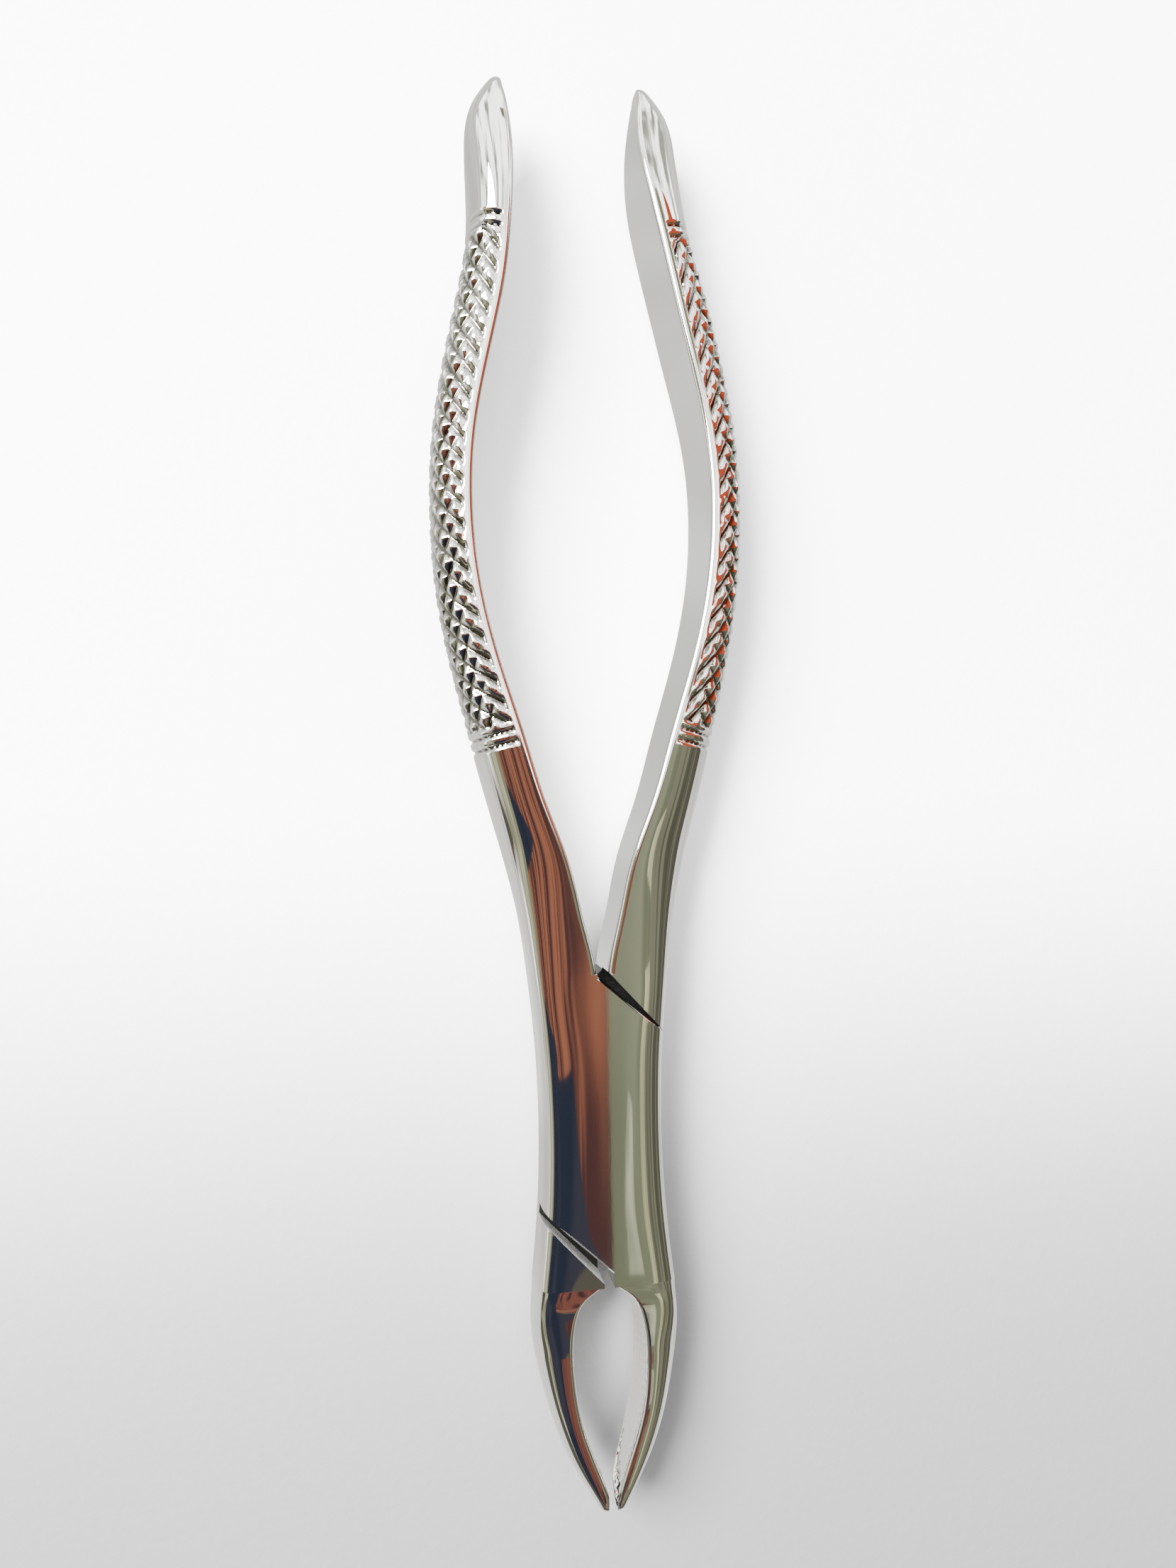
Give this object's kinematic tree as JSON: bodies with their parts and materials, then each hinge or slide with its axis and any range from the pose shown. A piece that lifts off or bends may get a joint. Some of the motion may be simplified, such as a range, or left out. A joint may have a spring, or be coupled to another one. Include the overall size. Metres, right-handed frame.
{
  "type": "dental extraction forceps",
  "caption": "Hand forceps with crossing halves on a pivot screw, bowed diamond-cut handles and curved hollow beaks that close at their tips.",
  "frame": {"origin": "on the pivot axis, in the flat underside of the joint", "axes": "+Y along the tool towards the handle ends, +Z along the pivot axis out of the upper lap plate, +X across towards the lower half's handle"},
  "size_m": [0.0384, 0.173, 0.012],
  "materials": {
    "polished_steel": "mirror-polished stainless steel",
    "screw_steel": "polished stainless steel with turning marks"
  },
  "bodies": {
    "lower": {"lower_half": "polished_steel"},
    "upper": {"upper_half": "polished_steel", "pivot_screw": "screw_steel"}
  },
  "joints": [
    {"name": "pivot", "type": "hinge", "parent": "lower", "child": "upper", "pos_m": [0, 0, 0.0045], "axis": [0, 0, 1], "range_deg": [0, 40]}
  ]
}
